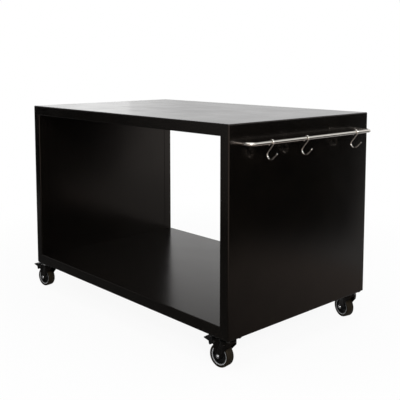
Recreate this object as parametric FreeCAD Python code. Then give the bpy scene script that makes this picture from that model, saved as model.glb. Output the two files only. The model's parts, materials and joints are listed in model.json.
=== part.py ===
import FreeCAD, Part
import math
import os

V = FreeCAD.Vector

# Outdoor oven table. Four double-skinned sheet panels form a ring that is open at the front and
# the back. It stands on four swivel casters and carries a utensil rail with three hooks.
# All sizes are millimetres. The origin is on the floor under the middle of the carcass,
# +X points right as seen from the front, +Y to the back and +Z up.

# Carcass
WIDTH = 1200.0
DEPTH = 740.0
HEIGHT = 805.0  # floor to worktop
PANEL = 40.0  # thickness of the worktop, the sides and the shelf
SHEET = 1.5
BEND = 4.0  # outside radius of a folded edge
LIP = 40.0  # return lip behind the front and back edges
SEAM = 2.0  # gap between a lip and the liner beside it

# Hat-shaped stiffeners between the two skins of a panel
HAT_SHEET = 1.5
HAT_CROWN = 40.0
HAT_FOOT = 20.0
HAT_END_GAP = 8.0
FLAT_HAT_PITCH = 336.0  # worktop and shelf, three each
SIDE_HAT_PITCH = 246.0  # side panels, two each

# Bolts, one size throughout
BOLT_D = 6.0
BOLT_FLATS = 10.0
BOLT_HEAD = 4.0
NUT_HEIGHT = 5.0
BOLT_TAIL = 2.0  # thread past the nut
HOLE_CLEARANCE = 0.3  # radial, bolt in hole
THREAD_CLEARANCE = 0.05  # radial, bolt in nut or tapped bore
PANEL_BOLT_PITCH = 246.0

# Utensil rail on the right side
RAIL_D = 12.0
RAIL_STANDOFF = 50.0  # panel face to bar centre
RAIL_DROP = 63.0  # worktop to bar centre
RAIL_FOOT_INSET = 45.0  # front or back face to foot centre
RAIL_BEND = 25.0  # radius at the bar centre line
RAIL_TAP_DEPTH = 18.0
RAIL_PAD = 40.0  # square backing plate inside the panel
RAIL_PAD_THICK = 3.0
WASHER_D = 14.0
WASHER_THICK = 1.5

# S-hooks, each one's place along the bar from its middle
HOOK_PLACES = {"hook_front": -228.0, "hook_middle": -54.0, "hook_rear": 224.0}
HOOK_WIRE = 4.0
HOOK_CLEARANCE = 0.3  # between the bar and the upper bend
HOOK_TAIL = 12.0  # straight end behind the bar
HOOK_FLARE_ANGLE = 15.0  # degrees the tail leans away from the bar
HOOK_BOWL = 14.0  # radius of the lower bend at the wire centre
HOOK_BOWL_IN = 5.4  # lower bend centre, in from the bar towards the panel
HOOK_BOWL_DROP = 41.5  # lower bend centre, below the bar
HOOK_TIP_ANGLE = 43.0  # degrees the outer end rises past level
HOOK_TIP = 25.0  # straight outer end

# Casters: places, whether braked, and the way each happens to point, in degrees about Z
CASTER_INSET = 39.0  # outer faces to swivel axis
CASTERS = {
    "front_left": (-1, -1, True, 7.0),
    "front_right": (1, -1, True, 6.0),
    "rear_left": (-1, 1, False, 9.0),
    "rear_right": (1, 1, False, -13.0),
}
PLATE = 68.0
PLATE_THICK = 2.5
PLATE_CORNER = 6.0
PLATE_HOLE_PITCH = 52.0
BACKING_THICK = 5.0
DISH = 3.5  # pressed depth of the raceway in the plate
DISH_FLAT_D = 40.0
DISH_RIM_D = 50.0
BALL_D = 5.4
BALL_RING_D = 36.0
RACE_GAP = 0.3
KINGPIN_D = 10.0
KINGPIN_HEAD_D = 18.0
KINGPIN_HEAD = 2.5
RIVET_STEP = 1.0  # lower head of the kingpin, smaller than the upper
RUNNING = 0.08  # radial running fit on kingpin, axle sleeve and brake pin
SIDE_GAP = 0.3  # axial play of what turns

FORK_SHEET = 2.5
CROWN_D = 56.0
CROWN_ROUND = 1.5
CROWN_EDGE = 12.0  # height of the crown's upright rim
TRAIL = 26.0  # swivel axis to axle
LOBE = 12.0  # radius of the leg round the axle
LEG_CORNER = 8.0
LEG_WAIST_R = 120.0  # hollow curve of a leg's rear edge
SKIRT_FOOT_REAR = 14.0  # rear edge of the straight leg, behind the swivel axis
SKIRT_ABOVE_AXLE = 9.5  # height above the axle where the legs turn upright
ARCH_BRIDGE = 3.0  # metal left under the crown by the arch
RIB_R = 4.0
RIB_PROUD = 1.5
RIB_TOP_X = 2.0
RIB_FOOT_X = -6.0
RIB_FOOT_ABOVE_AXLE = 18.0

WHEEL_D = 80.0
WHEEL_HEADROOM = 15.8  # under the crown to the tyre
TYRE_WIDTH = 30.0
TYRE_THICK = 7.0
TYRE_SHOULDER = 3.0
TYRE_CROWN = 0.3  # middle of the tread over its shoulders
TREAD_FLAT = 6.0  # level band in the middle of the tread
RIM_THICK = 5.0
RIM_INSET = 0.8  # rim ring behind the tyre's side
RIM_CHAMFER = 0.8
CORE_LAND = 3.0  # core band under the rim ring
CORE_INSET = 1.5
WEB_HALF = 5.0
HUB_D = 20.0
HUB_STEP = 3.2  # hub past the tyre's side
AXLE_D = 8.0
AXLE_SLEEVE_D = 10.0
AXLE_FLATS = 13.0
AXLE_HEAD = 5.3

# Brake, in the fork's own frame: the pedal lies forward, which is -X
PIVOT_FORWARD = 42.0
PIVOT_BELOW_CROWN = 9.5
EAR_R = 8.0
PIN_D = 5.0
PIN_HEAD_D = 8.0
PIN_HEAD = 1.2
BOSS_R = 6.0
PEDAL_REACH = 45.0  # pivot to tip
PEDAL_RISE = 12.0  # highest point above the pivot
PEDAL_TOP = 9.0  # highest point in front of the pivot
PEDAL_FALL = 7.0  # tread's fall from the highest point to the tip
PEDAL_NOSE = 2.0  # bevel at the tip
TREAD_THICK = 4.0
TREAD_GROOVE_D = 1.6  # grip grooves across the tread
TREAD_GROOVE_PITCH = 5.0
STEP_FORWARD = 24.0  # upper step of the underside
STEP_DROP = 4.0
SHOE_FORWARD = 22.0  # lower step
SHOE_SHOULDER = 14.0
CLAW_FORWARD = 17.0  # front of the shoe's claw over the tyre
CLAW_SHOULDER = 17.0
CLAW_DROP = 24.0
PEDAL_TRAVEL = 12.0  # degrees from up to braked
TYRE_GAP = 0.3  # shoe to tyre at full travel

OVERCUT = 1.0  # how far a cut runs past the metal

# Places worked out from the sizes
AXLE_SPAN = TYRE_WIDTH + 2 * HUB_STEP + 2 * SIDE_GAP
LEG_OUT = AXLE_SPAN / 2 + FORK_SHEET
DISH_Z = -PLATE_THICK - DISH
CROWN_TOP = DISH_Z - BALL_D - RACE_GAP
CROWN_LOW = CROWN_TOP - FORK_SHEET
RIM_Z = CROWN_TOP - CROWN_EDGE
AXLE_Z = CROWN_LOW - WHEEL_HEADROOM - WHEEL_D / 2
BASE_Z = WHEEL_D / 2 - AXLE_Z  # floor to the carcass underside
SHELF_Z = BASE_Z + PANEL
CEILING_Z = HEIGHT - PANEL
CORE = PANEL - 2 * SHEET  # space between a panel's skins
BAY_X = WIDTH / 2 - PANEL
RAIL_X = WIDTH / 2 + RAIL_STANDOFF
RAIL_Z = HEIGHT - RAIL_DROP
FOOT_Y = DEPTH / 2 - RAIL_FOOT_INSET
PIVOT_X = -PIVOT_FORWARD
PIVOT_Z = CROWN_LOW - PIVOT_BELOW_CROWN

os.makedirs("parts", exist_ok=True)


def box(x0, x1, y0, y1, z0, z1):
    return Part.makeBox(x1 - x0, y1 - y0, z1 - z0, V(x0, y0, z0))


def rod(radius, start, end):
    start, end = V(*start), V(*end)
    return Part.makeCylinder(radius, (end - start).Length, start, end - start)


def outline(points):
    return Part.Face(Part.makePolygon([V(*p) for p in points + points[:1]]))


def turned(points, centre, axis):
    """A profile of (radius, height) points turned about an axis through centre."""
    axis = V(*axis)
    out = V(1, 0, 0) if abs(axis.x) < 0.5 else V(0, 1, 0)
    at = [V(*centre) + out * r + axis * h for r, h in points]
    return Part.Face(Part.makePolygon(at + at[:1])).revolve(V(*centre), axis, 360)


def hexagon(flats, height, base, axis):
    """A hexagonal prism with its corners turned off at the far face."""
    axis = V(*axis)
    across = flats / math.sqrt(3)
    side = V(0, 0, 1) if abs(axis.z) < 0.5 else V(1, 0, 0)
    other = axis.cross(side)
    corners = [
        V(*base) + side * across * math.cos(a) + other * across * math.sin(a)
        for a in [math.radians(60 * k) for k in range(6)]
    ]
    return Part.Face(Part.makePolygon(corners + corners[:1])).extrude(axis * height)


def round_edges(solid, radius, chosen):
    """Rounds the straight edges whose two ends pass the test."""
    edges = [e for e in solid.Edges if chosen(e.Vertexes[0].Point, e.Vertexes[-1].Point)]
    return solid.makeFillet(radius, edges)


def upright(a, b):
    return abs(a.z - b.z) > SHEET


def level_at(z):
    return lambda a, b: abs(a.z - z) < 0.01 and abs(b.z - z) < 0.01


def save(name, shape, tidy=True):
    shape = shape.removeSplitter() if tidy and shape.ShapeType == "Solid" else shape
    shape.exportStep("parts/" + name + ".step")


def pan(x, z0, z1, outer_z):
    """A flat tray: skin at one face, four folded edges and return lips round the other face."""
    y = DEPTH / 2
    wall = [x - SHEET, y - SHEET]
    shell = box(-x, x, -y, y, z0, z1)
    shell = round_edges(shell, BEND, lambda a, b: upright(a, b) or level_at(outer_z)(a, b))
    hollow = box(-wall[0], wall[0], -wall[1], wall[1], z0 + SHEET, z1 - SHEET)
    inner_z = z0 + SHEET if outer_z == z0 else z1 - SHEET
    hollow = round_edges(hollow, BEND - SHEET, lambda a, b: upright(a, b) or level_at(inner_z)(a, b))
    return shell.cut(hollow)


def bay_edge_rounding(z, inward):
    """What the folds take off the panel edges that face the open bay, front and back."""
    reach = BAY_X + BEND
    pieces = []
    for side in (-1, 1):
        face = side * DEPTH / 2
        centre_y, centre_z = face - side * BEND, z + inward * BEND
        strip = box(
            -reach, reach, min(face, centre_y), max(face, centre_y), min(z, centre_z), max(z, centre_z)
        )
        pieces.append(strip.cut(rod(BEND, (-reach, centre_y, centre_z), (reach, centre_y, centre_z))))
    return pieces


def panel_bolt_places():
    x = WIDTH / 2 - PANEL / 2
    return [(side * x, row * PANEL_BOLT_PITCH) for side in (-1, 1) for row in (-1, 0, 1)]


def caster_place(name):
    side, end = CASTERS[name][:2]
    return side * (WIDTH / 2 - CASTER_INSET), end * (DEPTH / 2 - CASTER_INSET)


def caster_bolt_places():
    h = PLATE_HOLE_PITCH / 2
    places = [caster_place(name) for name in CASTERS]
    return [(x + i * h, y + j * h) for x, y in places for i in (-1, 1) for j in (-1, 1)]


def drilled(solid, places, z0, z1):
    holes = [rod(BOLT_D / 2 + HOLE_CLEARANCE, (x, y, z0), (x, y, z1)) for x, y in places]
    return solid.cut(holes)


def worktop():
    tray = pan(WIDTH / 2, CEILING_Z, HEIGHT, HEIGHT)
    mouth = box(-BAY_X, BAY_X, LIP - DEPTH / 2, DEPTH / 2 - LIP, CEILING_Z, CEILING_Z + SHEET)
    tray = tray.cut([mouth] + bay_edge_rounding(CEILING_Z, 1))
    return drilled(tray, panel_bolt_places(), CEILING_Z, CEILING_Z + SHEET)


def shelf():
    """The shelf tray, its top divided at the side panels so that the clear shelf is one face."""
    tray = pan(WIDTH / 2, BASE_Z, SHELF_Z, BASE_Z)
    mouth = box(-BAY_X, BAY_X, LIP - DEPTH / 2, DEPTH / 2 - LIP, BASE_Z, BASE_Z + SHEET)
    tray = tray.cut([mouth] + bay_edge_rounding(SHELF_Z, -1))
    tray = drilled(tray, panel_bolt_places(), SHELF_Z - SHEET, SHELF_Z)
    tray = drilled(tray, caster_bolt_places(), BASE_Z, BASE_Z + SHEET).removeSplitter()
    y = DEPTH / 2 - BEND
    seats = [line((x, -y, SHELF_Z), (x, y, SHELF_Z)) for x in (-BAY_X, BAY_X)]
    return tray.generalFuse(seats)[0].Solids[0]


def flat_liner(z):
    """The loose sheet that closes the worktop's or the shelf's underside."""
    x, y = BAY_X - SEAM, DEPTH / 2 - LIP - SEAM
    return box(-x, x, -y, y, z, z + SHEET)


def side_pan(side):
    """A side tray, skin outwards, with front and back lips and end flanges."""
    x, y = WIDTH / 2, DEPTH / 2
    tray = box(BAY_X, x, -y, y, SHELF_Z, CEILING_Z)
    tray = round_edges(tray, BEND, upright)
    hollow = box(BAY_X + SHEET, x - SHEET, SHEET - y, y - SHEET, SHELF_Z + SHEET, CEILING_Z - SHEET)
    hollow = round_edges(hollow, BEND - SHEET, upright)
    mouth = box(BAY_X, BAY_X + SHEET, LIP - y, y - LIP, SHELF_Z, CEILING_Z)
    tray = tray.cut([hollow, mouth])
    if side < 0:
        tray = tray.mirror(V(0, 0, 0), V(1, 0, 0))
    places = [p for p in panel_bolt_places() if p[0] * side > 0]
    tray = drilled(tray, places, SHELF_Z, SHELF_Z + SHEET)
    return drilled(tray, places, CEILING_Z - SHEET, CEILING_Z)


def side_liner(side):
    y = DEPTH / 2 - LIP - SEAM
    inner, outer = sorted((side * BAY_X, side * (BAY_X + SHEET)))
    return box(inner, outer, -y, y, SHELF_Z, CEILING_Z)


def hat(length):
    """One stiffener along +Y, feet on z = 0, crown at the skin."""
    c, f, t = HAT_CROWN / 2, HAT_FOOT, HAT_SHEET
    half = [(c - t, CORE - t), (c - t, 0), (c + f, 0), (c + f, t), (c, t), (c, CORE)]
    section = half + [(-x, z) for x, z in reversed(half)]
    return outline([(x, -length / 2, z) for x, z in section]).extrude(V(0, length, 0))


def flat_hats(feet_z):
    length = DEPTH - 2 * (SHEET + HAT_END_GAP)
    bars = []
    for k in (-1, 0, 1):
        bar = hat(length)
        bar.translate(V(k * FLAT_HAT_PITCH, 0, feet_z))
        bars.append(bar)
    return Part.makeCompound(bars)


def side_hats(side):
    """Two upright stiffeners, feet on the liner and crown on the outer skin."""
    length = CEILING_Z - SHELF_Z - 2 * (SHEET + HAT_END_GAP)
    bars = []
    for k in (-0.5, 0.5):
        bar = hat(length)
        bar.rotate(V(0, 0, 0), V(1, 0, 0), 90)
        bar.rotate(V(0, 0, 0), V(0, 0, 1), 90)
        bar.translate(V(BAY_X + SHEET, k * SIDE_HAT_PITCH, (SHELF_Z + CEILING_Z) / 2))
        bars.append(bar if side > 0 else bar.mirror(V(0, 0, 0), V(1, 0, 0)))
    return Part.makeCompound(bars)


def bolt(x, y, seat, grip, up):
    """A hexagon bolt: head on its seat, shank through the grip and the nut."""
    axis = V(0, 0, up)
    tip = seat + up * (grip + NUT_HEIGHT + BOLT_TAIL)
    head = hexagon(BOLT_FLATS, BOLT_HEAD, (x, y, seat), -axis)
    return head.fuse(rod(BOLT_D / 2, (x, y, seat), (x, y, tip)))


def nut(x, y, seat, up):
    body = hexagon(BOLT_FLATS, NUT_HEIGHT, (x, y, seat), V(0, 0, up))
    tap = rod(BOLT_D / 2 + THREAD_CLEARANCE, (x, y, seat), (x, y, seat + up * NUT_HEIGHT))
    return body.cut(tap)


def panel_fasteners():
    grip = 2 * SHEET
    bolts, nuts = [], []
    for x, y in panel_bolt_places():
        bolts.append(bolt(x, y, CEILING_Z - SHEET, grip, 1))
        nuts.append(nut(x, y, CEILING_Z + SHEET, 1))
        bolts.append(bolt(x, y, SHELF_Z + SHEET, grip, -1))
        nuts.append(nut(x, y, SHELF_Z - SHEET, -1))
    return Part.makeCompound(bolts), Part.makeCompound(nuts)


def caster_fasteners():
    grip = PLATE_THICK + SHEET + BACKING_THICK
    seat = BASE_Z - PLATE_THICK
    bolts = [bolt(x, y, seat, grip, 1) for x, y in caster_bolt_places()]
    nuts = [nut(x, y, seat + grip, 1) for x, y in caster_bolt_places()]
    return Part.makeCompound(bolts), Part.makeCompound(nuts)


def rounded_plate(side, corner, z0, z1):
    plate = box(-side / 2, side / 2, -side / 2, side / 2, z0, z1)
    return plate.makeFillet(corner, [e for e in plate.Edges if e.Vertexes[0].Z != e.Vertexes[1].Z])


def backing_plates():
    plates = []
    for name in CASTERS:
        x, y = caster_place(name)
        plate = rounded_plate(PLATE, PLATE_CORNER, 0, BACKING_THICK)
        plate.translate(V(x, y, BASE_Z + SHEET))
        plates.append(drilled(plate, caster_bolt_places(), BASE_Z, BASE_Z + SHEET + BACKING_THICK))
    return Part.makeCompound(plates)


def swept(radius, edges):
    """A round bar along a run of lines and arcs: a cylinder for each line, a torus for each arc."""
    pieces = []
    for edge in edges:
        start = edge.valueAt(edge.FirstParameter)
        along = edge.tangentAt(edge.FirstParameter)
        if isinstance(edge.Curve, Part.Line):
            pieces.append(Part.makeCylinder(radius, edge.Length, start, along))
            continue
        disc = Part.Face(Part.Wire(Part.makeCircle(radius, start, along)))
        centre, axis = edge.Curve.Center, edge.Curve.Axis
        if axis.cross(start - centre).dot(along) < 0:
            axis = axis * -1
        pieces.append(disc.revolve(centre, axis, math.degrees(edge.Length / edge.Curve.Radius)))
    return pieces[0].fuse(pieces[1:])


def arc(a, middle, b):
    return Part.Arc(V(*a), V(*middle), V(*b)).toShape()


def line(a, b):
    return Part.LineSegment(V(*a), V(*b)).toShape()


def rail():
    wall, r = WIDTH / 2, RAIL_BEND
    turn = r * (1 - math.sqrt(0.5))
    run = FOOT_Y - r
    edges = [
        line((wall, -FOOT_Y, RAIL_Z), (RAIL_X - r, -FOOT_Y, RAIL_Z)),
        arc(
            (RAIL_X - r, -FOOT_Y, RAIL_Z),
            (RAIL_X - turn, turn - FOOT_Y, RAIL_Z),
            (RAIL_X, -run, RAIL_Z),
        ),
        line((RAIL_X, -run, RAIL_Z), (RAIL_X, run, RAIL_Z)),
        arc(
            (RAIL_X, run, RAIL_Z),
            (RAIL_X - turn, FOOT_Y - turn, RAIL_Z),
            (RAIL_X - r, FOOT_Y, RAIL_Z),
        ),
        line((RAIL_X - r, FOOT_Y, RAIL_Z), (wall, FOOT_Y, RAIL_Z)),
    ]
    bar = swept(RAIL_D / 2, edges)
    bores = [
        rod(BOLT_D / 2 + THREAD_CLEARANCE, (wall, y, RAIL_Z), (wall + RAIL_TAP_DEPTH, y, RAIL_Z))
        for y in (-FOOT_Y, FOOT_Y)
    ]
    return bar.cut(bores)


def rail_fixings():
    """Backing plates, washers and screws inside the right panel, in that order."""
    skin = WIDTH / 2 - SHEET
    pad_x = skin - RAIL_PAD_THICK
    head_x = pad_x - WASHER_THICK
    hole = BOLT_D / 2 + HOLE_CLEARANCE
    half = RAIL_PAD / 2
    pads, washers, screws = [], [], []
    for y in (-FOOT_Y, FOOT_Y):
        pad = box(pad_x, skin, y - half, y + half, RAIL_Z - half, RAIL_Z + half)
        pads.append(pad.cut(rod(hole, (pad_x, y, RAIL_Z), (skin, y, RAIL_Z))))
        washer = rod(WASHER_D / 2, (head_x, y, RAIL_Z), (pad_x, y, RAIL_Z))
        washers.append(washer.cut(rod(hole, (head_x, y, RAIL_Z), (pad_x, y, RAIL_Z))))
        tip = WIDTH / 2 + RAIL_TAP_DEPTH - BOLT_TAIL
        head = hexagon(BOLT_FLATS, BOLT_HEAD, (head_x, y, RAIL_Z), (-1, 0, 0))
        screws.append(head.fuse(rod(BOLT_D / 2, (head_x, y, RAIL_Z), (tip, y, RAIL_Z))))
    return [Part.makeCompound(group) for group in (pads, washers, screws)]


def right_side_pan():
    skin = WIDTH / 2 - SHEET
    hole = BOLT_D / 2 + HOLE_CLEARANCE
    holes = [rod(hole, (skin, y, RAIL_Z), (WIDTH / 2, y, RAIL_Z)) for y in (-FOOT_Y, FOOT_Y)]
    return side_pan(1).cut(holes)


def hook(y):
    """An S of round wire: over the bar, slanting inwards, then a bend that opens outwards."""
    top = RAIL_D / 2 + HOOK_CLEARANCE + HOOK_WIRE / 2
    bowl = (-HOOK_BOWL_IN, -HOOK_BOWL_DROP)
    distance = math.hypot(*bowl)
    slope = math.atan2(bowl[1], bowl[0]) - math.asin((top + HOOK_BOWL) / distance)
    normal = slope + math.pi / 2
    tip, flare = math.radians(HOOK_TIP_ANGLE), math.radians(HOOK_FLARE_ANGLE)

    def at(x, z):
        return RAIL_X + x, y, RAIL_Z + z

    def on(centre, radius, angle):
        return at(centre[0] + radius * math.cos(angle), centre[1] + radius * math.sin(angle))

    loop_x, loop_z = -top * math.cos(flare), top * math.sin(flare)
    loop = at(loop_x, loop_z)
    tail = at(loop_x - HOOK_TAIL * math.sin(flare), loop_z - HOOK_TAIL * math.cos(flare))
    leave = on((0, 0), top, normal)
    enter = on(bowl, HOOK_BOWL, normal + math.pi)
    turn_end = tip - math.pi / 2 + 2 * math.pi
    middle = (normal + math.pi + turn_end) / 2
    exit_x = bowl[0] + HOOK_BOWL * math.cos(turn_end)
    exit_z = bowl[1] + HOOK_BOWL * math.sin(turn_end)
    end = at(exit_x + HOOK_TIP * math.cos(tip), exit_z + HOOK_TIP * math.sin(tip))
    edges = [
        line(tail, loop),
        arc(loop, on((0, 0), top, math.pi / 2), leave),
        line(leave, enter),
        arc(enter, on(bowl, HOOK_BOWL, middle), at(exit_x, exit_z)),
        line(at(exit_x, exit_z), end),
    ]
    ends = [Part.makeSphere(HOOK_WIRE / 2, V(*p)) for p in (tail, end)]
    return swept(HOOK_WIRE / 2, edges).fuse(ends)


# Casters are built with the swivel axis on Z, the mounting face at z = 0 and the wheel towards -X.


def caster_plate():
    """Mounting plate with the raceway dished downwards round the kingpin."""
    flat = rounded_plate(PLATE, PLATE_CORNER, -PLATE_THICK, 0)
    flat = flat.cut(rod(DISH_RIM_D / 2, (0, 0, -PLATE_THICK), (0, 0, 0)))
    bore, low, rim = KINGPIN_D / 2 + THREAD_CLEARANCE, DISH_FLAT_D / 2, DISH_RIM_D / 2
    profile = [
        (bore, DISH_Z),
        (low, DISH_Z),
        (rim, -PLATE_THICK),
        (rim, 0),
        (low, -DISH),
        (bore, -DISH),
    ]
    plate = flat.fuse(turned(profile, (0, 0, 0), (0, 0, 1)))
    h, hole = PLATE_HOLE_PITCH / 2, BOLT_D / 2 + HOLE_CLEARANCE
    holes = [rod(hole, (i * h, j * h, -PLATE_THICK), (i * h, j * h, 0)) for i in (-1, 1) for j in (-1, 1)]
    return plate.cut(holes)


def kingpin():
    """Rivet with a flat head in the dish and a domed head under the crown."""
    head, shank = KINGPIN_HEAD_D / 2, KINGPIN_D / 2
    seat = CROWN_LOW - RACE_GAP
    profile = [
        (0, KINGPIN_HEAD - DISH),
        (head, KINGPIN_HEAD - DISH),
        (head, -DISH),
        (shank, -DISH),
        (shank, seat),
        (head - RIVET_STEP, seat),
        (head - RIVET_STEP, seat - KINGPIN_HEAD / 2),
        (shank, seat - KINGPIN_HEAD),
        (0, seat - KINGPIN_HEAD),
    ]
    return turned(profile, (0, 0, 0), (0, 0, 1))


def ball_ring():
    """The caged balls between the two raceways, as one ring of their outer shape."""
    r, b = BALL_RING_D / 2, BALL_D / 2
    middle = CROWN_TOP + b
    flat = b * math.tan(math.pi / 8)
    half = [(flat, b), (b, flat), (b, -flat), (flat, -b)]
    profile = half + [(-p, q) for p, q in reversed(half)]
    return turned([(r + p, middle + q) for p, q in profile], (0, 0, 0), (0, 0, 1))


def circle_section(radius, z):
    """A circle at height z in eight arcs, to pair with the edges of rounded_section."""
    angles = [-120, -60, -25, 25, 60, 120, 155, 205, 240]

    def at(degrees):
        a = math.radians(degrees)
        return radius * math.cos(a), radius * math.sin(a), z

    pairs = zip(angles, angles[1:])
    return Part.Wire([arc(at(a), at((a + b) / 2), at(b)) for a, b in pairs])


def rounded_section(x0, x1, half_y, corner, z):
    """A rectangle with quarter-round corners at height z, as one wire of eight edges."""
    k = corner * (1 - math.sqrt(0.5))
    y0, y1 = -half_y, half_y
    edges = [
        line((x0 + corner, y0, z), (x1 - corner, y0, z)),
        arc((x1 - corner, y0, z), (x1 - k, y0 + k, z), (x1, y0 + corner, z)),
        line((x1, y0 + corner, z), (x1, y1 - corner, z)),
        arc((x1, y1 - corner, z), (x1 - k, y1 - k, z), (x1 - corner, y1, z)),
        line((x1 - corner, y1, z), (x0 + corner, y1, z)),
        arc((x0 + corner, y1, z), (x0 + k, y1 - k, z), (x0, y1 - corner, z)),
        line((x0, y1 - corner, z), (x0, y0 + corner, z)),
        arc((x0, y0 + corner, z), (x0 + k, y0 + k, z), (x0 + corner, y0, z)),
    ]
    return Part.Wire(edges)


def skirt(inset, top_z):
    """The pressed form from the round crown down to the upright legs, drawn in by inset."""
    crown = CROWN_D / 2 - inset
    front, rear = -TRAIL - LOBE + inset, SKIRT_FOOT_REAR - inset
    foot_z, low_z = AXLE_Z + SKIRT_ABOVE_AXLE, AXLE_Z - LOBE - OVERCUT
    corner, half_y = LEG_CORNER - inset, LEG_OUT - inset
    drum = rod(crown, (0, 0, RIM_Z), (0, 0, top_z))
    drum = drum.makeFillet(CROWN_ROUND, [e for e in drum.Edges if e.CenterOfMass.z > top_z - 0.1])
    rim = circle_section(crown, RIM_Z)
    foot = rounded_section(front, rear, half_y, corner, foot_z)
    low = rounded_section(front, rear, half_y, corner, low_z)
    flare = Part.makeLoft([rim, foot], True, True)
    return drum.fuse([flare, Part.makeLoft([foot, low], True, True)])


def waist(px, pz, cx, cz, radius, hollow):
    """The arc of radius hollow from a point that runs smoothly onto the lower side of a circle.

    Returns the arc's middle and where it meets the circle, in the XZ plane.
    """
    away = math.hypot(cx - px, cz - pz)
    reach = hollow + radius
    share = (away * away + hollow * hollow - reach * reach) / (2 * away * hollow)
    turn = math.atan2(cz - pz, cx - px) + math.acos(share)
    ox, oz = px + hollow * math.cos(turn), pz + hollow * math.sin(turn)
    tx, tz = cx + (ox - cx) * radius / reach, cz + (oz - cz) * radius / reach
    middle = math.atan2((pz + tz) / 2 - oz, (px + tx) / 2 - ox)
    return (ox + hollow * math.cos(middle), oz + hollow * math.sin(middle)), (tx, tz)


def leg_outline():
    """The fork seen from the side: crown, hollow rear edge and the lobe round the axle."""
    wide = CROWN_D
    corner = (CROWN_D / 2, RIM_Z)
    (mx, mz), (tx, tz) = waist(*corner, -TRAIL, AXLE_Z, LOBE, LEG_WAIST_R)
    front = -TRAIL - LOBE
    edges = [
        line((front, -wide, CROWN_TOP), (CROWN_D / 2, -wide, CROWN_TOP)),
        line((CROWN_D / 2, -wide, CROWN_TOP), (corner[0], -wide, corner[1])),
        arc((corner[0], -wide, corner[1]), (mx, -wide, mz), (tx, -wide, tz)),
        arc((tx, -wide, tz), (-TRAIL, -wide, AXLE_Z - LOBE), (front, -wide, AXLE_Z)),
        line((front, -wide, AXLE_Z), (front, -wide, CROWN_TOP)),
    ]
    return Part.Face(Part.Wire(edges)).extrude(V(0, 2 * wide, 0))


def arch():
    """The tunnel from front to back that lets the wheel and the pedal through."""
    half, long = AXLE_SPAN / 2, CROWN_D + TRAIL
    spring = CROWN_LOW - ARCH_BRIDGE - half
    low = AXLE_Z - LOBE - OVERCUT
    opening = box(-long, long, -half, half, low, spring)
    return opening.fuse(rod(half, (-long, 0, spring), (long, 0, spring)))


def ear(side):
    """The flat cheek that carries one end of the brake pin, in front of the skirt."""
    inner, outer = sorted((side * AXLE_SPAN / 2, side * LEG_OUT))
    back = -math.sqrt((CROWN_D / 2) ** 2 - LEG_OUT**2) + FORK_SHEET
    foot_z = AXLE_Z + SKIRT_ABOVE_AXLE
    k = EAR_R * math.sqrt(0.5)
    edges = [
        line((back, inner, CROWN_TOP), (PIVOT_X, inner, PIVOT_Z + EAR_R)),
        arc(
            (PIVOT_X, inner, PIVOT_Z + EAR_R),
            (PIVOT_X - k, inner, PIVOT_Z + k),
            (PIVOT_X - EAR_R, inner, PIVOT_Z),
        ),
        line((PIVOT_X - EAR_R, inner, PIVOT_Z), (-TRAIL - LOBE, inner, foot_z)),
        line((-TRAIL - LOBE, inner, foot_z), (back, inner, foot_z)),
        line((back, inner, foot_z), (back, inner, CROWN_TOP)),
    ]
    cheek = Part.Face(Part.Wire(edges)).extrude(V(0, outer - inner, 0))
    hollow = skirt(FORK_SHEET, CROWN_LOW)
    return cheek.cut(hollow)


def rib(side):
    """The pressed bead that runs down the outside of a leg."""
    sunk = RIB_R - RIB_PROUD
    rim_y = math.sqrt((CROWN_D / 2) ** 2 - RIB_TOP_X**2)
    foot_z = AXLE_Z + RIB_FOOT_ABOVE_AXLE
    up = (RIB_FOOT_ABOVE_AXLE - SKIRT_ABOVE_AXLE) / (RIM_Z - AXLE_Z - SKIRT_ABOVE_AXLE)
    foot_y = LEG_OUT + up * (rim_y - LEG_OUT)
    start = (RIB_TOP_X, side * (rim_y - sunk), RIM_Z)
    end = (RIB_FOOT_X, side * (foot_y - sunk), foot_z)
    caps = [Part.makeSphere(RIB_R, V(*end)), Part.makeSphere(RIB_R, V(*start))]
    return rod(RIB_R, start, end).fuse(caps)


def fork(braked):
    """The pressed swivel fork: crown, flared skirt, legs with a bead, arch and axle holes."""
    body = skirt(0, CROWN_TOP).common(leg_outline())
    body = body.fuse([rib(-1), rib(1)]).cut(skirt(FORK_SHEET, CROWN_LOW))
    if braked:
        body = body.fuse([ear(-1), ear(1)])
    pivot = rod(KINGPIN_D / 2 + RUNNING, (0, 0, CROWN_LOW - OVERCUT), (0, 0, CROWN_TOP + OVERCUT))
    axle_r = AXLE_D / 2 + THREAD_CLEARANCE
    axle = rod(axle_r, (-TRAIL, -CROWN_D, AXLE_Z), (-TRAIL, CROWN_D, AXLE_Z))
    cuts = [arch(), pivot, axle]
    if braked:
        pin_r = PIN_D / 2 + THREAD_CLEARANCE
        cuts.append(rod(pin_r, (PIVOT_X, -CROWN_D, PIVOT_Z), (PIVOT_X, CROWN_D, PIVOT_Z)))
    return body.cut(cuts)


def axle_set():
    """Axle bolt with its head on the -Y leg, the sleeve between the legs and the nut."""
    at = (-TRAIL, 0, AXLE_Z)
    r, sleeve_r, half = AXLE_D / 2, AXLE_SLEEVE_D / 2, AXLE_SPAN / 2

    def on_axle(y):
        return at[0], y, at[2]

    end = LEG_OUT + AXLE_HEAD + BOLT_TAIL
    head = hexagon(AXLE_FLATS, AXLE_HEAD, on_axle(-LEG_OUT), (0, -1, 0))
    screw = head.fuse(rod(r, on_axle(-LEG_OUT), on_axle(end)))
    tap = rod(r + THREAD_CLEARANCE, on_axle(-half), on_axle(end))
    sleeve = rod(sleeve_r, on_axle(-half), on_axle(half)).cut(tap)
    locknut = hexagon(AXLE_FLATS, AXLE_HEAD, on_axle(LEG_OUT), (0, 1, 0)).cut(tap)
    return Part.makeCompound([screw, sleeve, locknut])


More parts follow.
